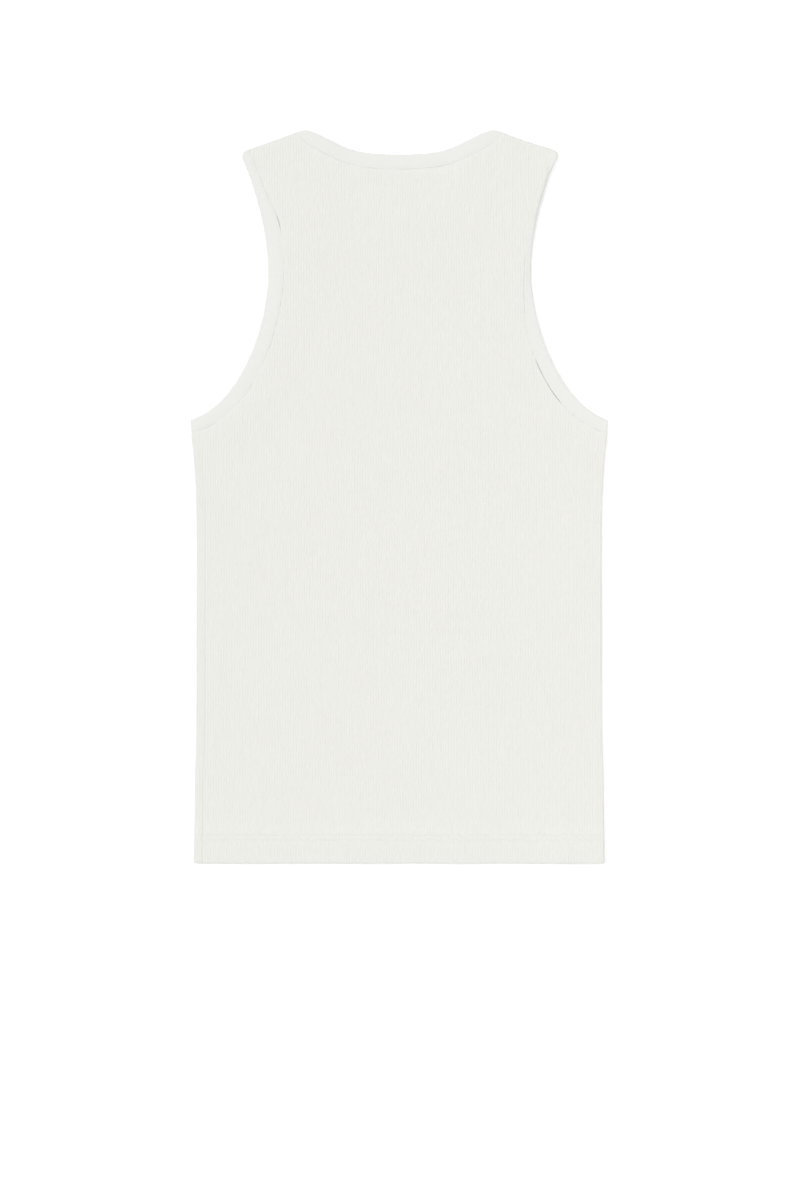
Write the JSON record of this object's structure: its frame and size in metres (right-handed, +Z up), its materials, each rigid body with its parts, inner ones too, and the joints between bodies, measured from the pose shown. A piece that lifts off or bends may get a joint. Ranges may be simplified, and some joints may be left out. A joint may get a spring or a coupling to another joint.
{
  "type": "tank top",
  "caption": "Sleeveless ribbed tank top laid flat with its back uppermost, with bound neck and armholes and a turned-up hem.",
  "frame": {"origin": "on the surface the garment lies on, under the middle of its outline", "axes": "+X to the wearer's right, +Y from the hem to the neck, +Z up from the surface through the front and then the back"},
  "size_m": [0.398, 0.7, 0.0066],
  "materials": {
    "rib_knit": "matt ribbed cotton knit",
    "binding": "matt folded rib strip",
    "thread": "matt sewing thread"
  },
  "bodies": {
    "root": {"front_panel": "rib_knit", "back_panel": "rib_knit", "neck_binding_back": "binding", "neck_binding_front": "binding", "arm_binding_left_back": "binding", "arm_binding_left_front": "binding", "arm_binding_right_back": "binding", "arm_binding_right_front": "binding"}
  },
  "joints": []
}
